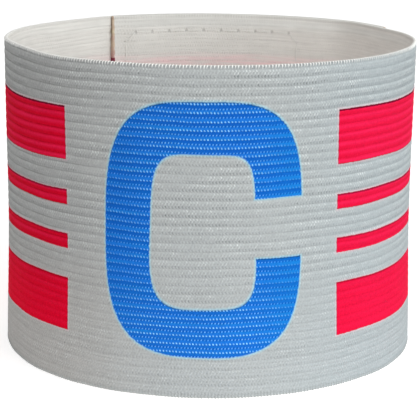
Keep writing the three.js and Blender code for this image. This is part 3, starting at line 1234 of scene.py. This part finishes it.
# The yarn over the rims, and the thread and the tapes of the pads
EDGE_YARN_SCALE = 4.0
EDGE_YARN_SHADE = 0.15
EDGE_YARN_RELIEF_DEPTH = 0.05
BACK_IN_CLOTH = (-0.6, 0.0)
TO_PRINTED_FACE = (0.2, 1.0)
FIBRE_DETAIL = 3.0
HOOK_NYLON = srgb(222, 221, 217)
LOOP_NYLON = srgb(226, 224, 219)
NYLONS = table(
    "name dark light roughness sheen scale depth",
    ("sewing_thread", srgb(214, 213, 208), srgb(238, 237, 232), 0.6, 0.2, 3000.0, 0.05),
    ("hook_nylon", darker(HOOK_NYLON), HOOK_NYLON, 0.5, 0.0, 900.0, 0.2),
    ("loop_nylon", darker(LOOP_NYLON), LOOP_NYLON, 0.95, 0.0, 900.0, 0.2),
)


def make_edge_yarn_material():
    material, tree, shader = new_material("edge_yarn", 0.9, sheen=0.05, specular=0.1)
    u, v, side = cloth_coordinates(tree)
    fibre = noise(tree, combine(tree, u, v, side), EDGE_YARN_SCALE, FIBRE_DETAIL)
    # The yarn over the rims takes a painted highlight
    bright = mix(side.ramp(*BACK_IN_CLOTH), PLAIN_YARN, RIM_YARN_PAINTED_HIGHLIGHT)
    colour = mix(side.ramp(*TO_PRINTED_FACE), bright, GREY_INK)
    colour = shade(tree, colour, (fibre - 0.5) * EDGE_YARN_SHADE + 1)
    tree.links.new(colour, shader.inputs["Base Color"])
    add_bump(tree, shader, fibre, EDGE_YARN_RELIEF_DEPTH)
    return material


def make_nylon_material(name, dark, light, roughness, sheen, scale, depth):
    """A fine grain from dark to light. scale is to the metre, and depth is in millimetres."""
    material, tree, shader = new_material(name, roughness, sheen)
    coordinates = tree.nodes.new("ShaderNodeTexCoord")
    grain = noise(tree, coordinates.outputs["Object"], scale, FIBRE_DETAIL)
    tree.links.new(mix(grain, dark, light), shader.inputs["Base Color"])
    add_bump(tree, shader, grain, depth)
    return material


def dress(piece, material):
    piece.data.materials.append(material)
    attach(piece, "root")


# The camera, fitted to the photo, with its place in millimetres and its angles in degrees
CAMERA_PLACE = (11.2, -395.83, 125.0)
CAMERA_PITCH = 12.948
CAMERA_YAW = 1.6155
CAMERA_ROLL = 0.44
PHOTO_WIDTH_PIXELS = 418
FOCAL_PIXELS = 1636.2
SENSOR_WIDTH = 36.0
NEAREST_SEEN_M = 0.01

# The room, in metres
FLOOR_HALF = 2.0
FLOOR_FRONT = 6.0
WALL_HEIGHT = 1.6
BEND_RADIUS = 0.6
BEND_STEPS = 12
FLOOR_GLOW = 0.5
FLOOR_COLOUR = (0.93, 0.93, 0.93, 1)
GLOW_COLOUR = (1, 1, 1, 1)
ROOM_COLOUR = (1.0, 0.99, 0.98, 1)
ROOM_STRENGTH = 0.49
LIGHT_TARGET = (0, 0, 0.04)
LIGHTS = table(
    "name place size power colour",
    ("key", (1.2, -1.0, 0.45), 1.2, 17.3, (0.93, 0.985, 1.0)),
    ("front", (0.3, -1.5, 0.25), 1.0, 5.5, (1.0, 1.0, 1.0)),
)


def make_camera():
    data = bpy.data.cameras.new("camera")
    data.sensor_fit = "HORIZONTAL"
    data.sensor_width = SENSOR_WIDTH
    data.lens = FOCAL_PIXELS * SENSOR_WIDTH / PHOTO_WIDTH_PIXELS
    data.clip_start = NEAREST_SEEN_M
    camera = bpy.data.objects.new("camera", data)
    camera.location = Vector(CAMERA_PLACE) * MM
    yaw = Euler((0, 0, math.radians(CAMERA_YAW))).to_matrix()
    pitch = Euler((math.radians(90 - CAMERA_PITCH), 0, 0)).to_matrix()
    roll = Euler((0, 0, math.radians(CAMERA_ROLL))).to_matrix()
    camera.rotation_euler = (yaw @ pitch @ roll).to_euler()
    bpy.context.scene.collection.objects.link(camera)
    bpy.context.scene.camera = camera


def make_area_light(name, place, size, power, colour):
    data = bpy.data.lights.new(name, "AREA")
    data.shape = "SQUARE"
    data.size = size
    data.energy = power
    data.color = colour
    light = bpy.data.objects.new(name, data)
    light.location = place
    light.rotation_euler = (Vector(LIGHT_TARGET) - Vector(place)).to_track_quat("-Z", "Y").to_euler()
    bpy.context.scene.collection.objects.link(light)


def make_floor():
    """A white sweep, lit from below as a light table is."""
    bend_start = FLOOR_HALF - BEND_RADIUS
    profile = [(-FLOOR_FRONT, 0.0), (bend_start, 0.0)]
    for step in range(1, BEND_STEPS + 1):
        angle = step / BEND_STEPS * math.pi / 2
        profile.append((bend_start + BEND_RADIUS * math.sin(angle), BEND_RADIUS * (1 - math.cos(angle))))
    profile.append((FLOOR_HALF, WALL_HEIGHT))
    vertices = [(x, y, z) for y, z in profile for x in (-FLOOR_HALF, FLOOR_HALF)]
    faces = [(2 * k, 2 * k + 1, 2 * k + 3, 2 * k + 2) for k in range(len(profile) - 1)]
    floor = mesh_object("floor", vertices, faces)
    material, tree, shader = new_material("floor_paper", 0.9, specular=0.0)
    shader.inputs["Base Color"].default_value = FLOOR_COLOUR
    shader.inputs["Emission Color"].default_value = GLOW_COLOUR
    shader.inputs["Emission Strength"].default_value = FLOOR_GLOW
    floor.data.materials.append(material)


def make_light():
    world = bpy.data.worlds.new("soft_room")
    world.use_nodes = True
    background = world.node_tree.nodes["Background"]
    background.inputs["Color"].default_value = ROOM_COLOUR
    background.inputs["Strength"].default_value = ROOM_STRENGTH
    bpy.context.scene.world = world
    for light in LIGHTS:
        make_area_light(**light)
    bpy.context.scene.view_settings.view_transform = "Standard"


make_camera()
make_light()
make_floor()

webbing = make_webbing_material()
edge_yarn = make_edge_yarn_material()
thread, hook_nylon, loop_nylon = (make_nylon_material(**nylon) for nylon in NYLONS)

band = make_band()
dress(band, webbing)
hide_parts("elastic_band")

edges = [make_edge_stitches("lower_edge_stitches", False), make_edge_stitches("upper_edge_stitches", True)]
for edge in edges:
    dress(edge, edge_yarn)

loop_seam = make_seam("loop_pad_seam", base=0, face_depth=BAND_WALL, outward=-1)
hook_seam = make_seam("hook_pad_seam", base=FULL_TURN, face_depth=0, outward=1)
for seam in (loop_seam, hook_seam):
    dress(seam, thread)

fibres = make_loose_fibres()
dress(fibres, edge_yarn)

hook_tape = make_tape("hook_tape", HOOK_GROUND)
hooks = make_pile(
    "hook_tape_hooks", HOOK_FORM, HOOK_GROUND["far"], inward=1, offset=0, turned=0, radius=HOOK_RADIUS,
)
loop_tape = make_tape("loop_tape", LOOP_GROUND)
loops = make_pile(
    "loop_tape_loops", LOOP_FORM, LOOP_GROUND["near"],
    inward=-1, offset=PILE_PITCH / 2, turned=1, radius=LOOP_RADIUS,
)
for piece in (hook_tape, hooks):
    dress(piece, hook_nylon)
for piece in (loop_tape, loops):
    dress(piece, loop_nylon)
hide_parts("hook_pad")
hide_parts("loop_pad")
